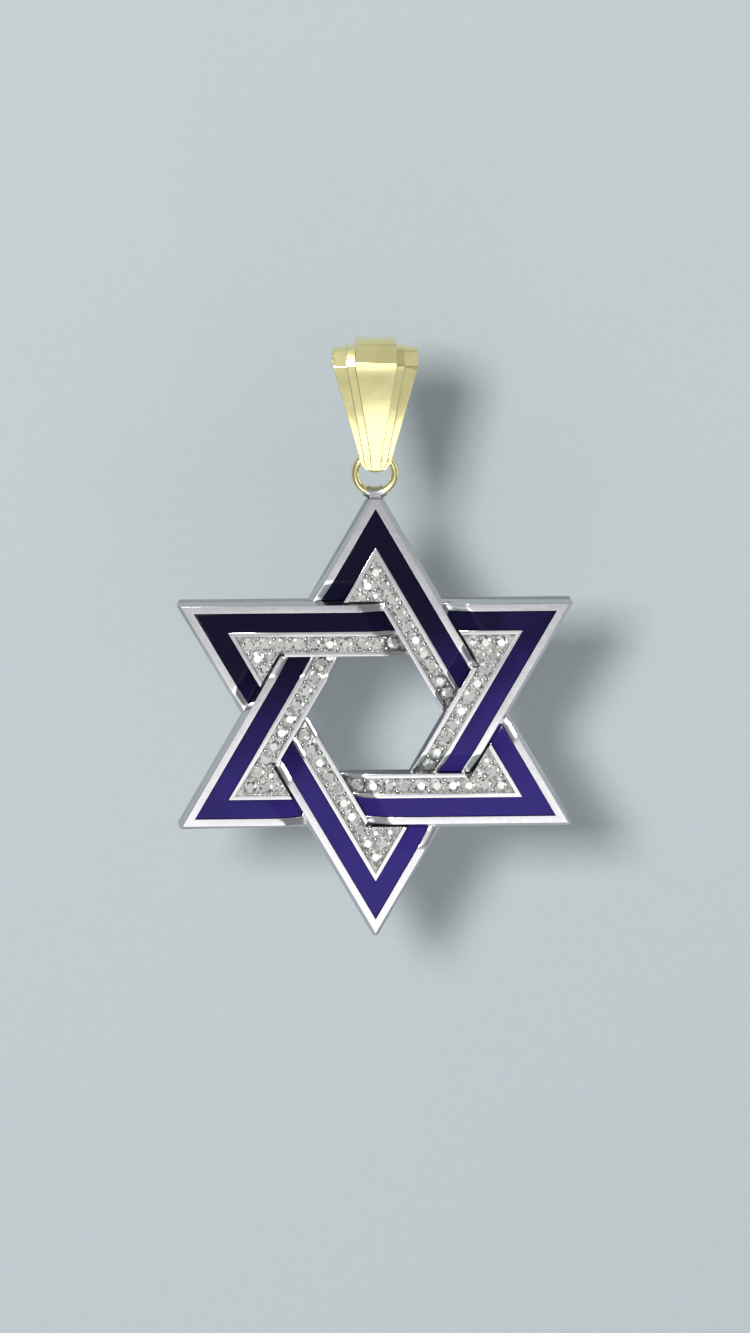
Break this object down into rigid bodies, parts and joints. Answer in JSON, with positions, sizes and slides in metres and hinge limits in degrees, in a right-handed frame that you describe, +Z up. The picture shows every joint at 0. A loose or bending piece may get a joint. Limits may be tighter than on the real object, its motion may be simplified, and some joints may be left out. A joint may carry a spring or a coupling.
{
  "type": "star of david pendant",
  "caption": "Hanging pendant: woven six-pointed star with enamel bands and rows of set stones, on a jump ring and a fluted fan-shaped bail.",
  "frame": {"origin": "middle of the chain channel in the fold of the bail, where the pendant hangs on its chain", "axes": "+Z up, +X to the wearer's left and to the right as seen from the front, the front faces -Y, and the chain passes along X"},
  "size_m": [0.0316, 0.0042, 0.0484],
  "materials": {
    "yellow_gold": "polished",
    "white_gold": "polished",
    "violet_enamel": "gloss",
    "cut_stone": "polished"
  },
  "bodies": {
    "bail": {"bail": "yellow_gold"},
    "star": {"jump_ring": "yellow_gold", "star_frame": "white_gold", "enamel_top": "violet_enamel", "enamel_upper_right": "violet_enamel", "enamel_lower_right": "violet_enamel", "enamel_bottom": "violet_enamel", "enamel_lower_left": "violet_enamel", "enamel_upper_left": "violet_enamel", "stones_top": "cut_stone", "stones_upper_right": "cut_stone", "stones_lower_right": "cut_stone", "stones_bottom": "cut_stone", "stones_lower_left": "cut_stone", "stones_upper_left": "cut_stone"}
  },
  "joints": [
    {"name": "star_swing", "type": "hinge", "parent": "bail", "child": "star", "pos_m": [0, 0, -0.00715], "axis": [1, 0, 0], "range_deg": [-30, 30]}
  ]
}
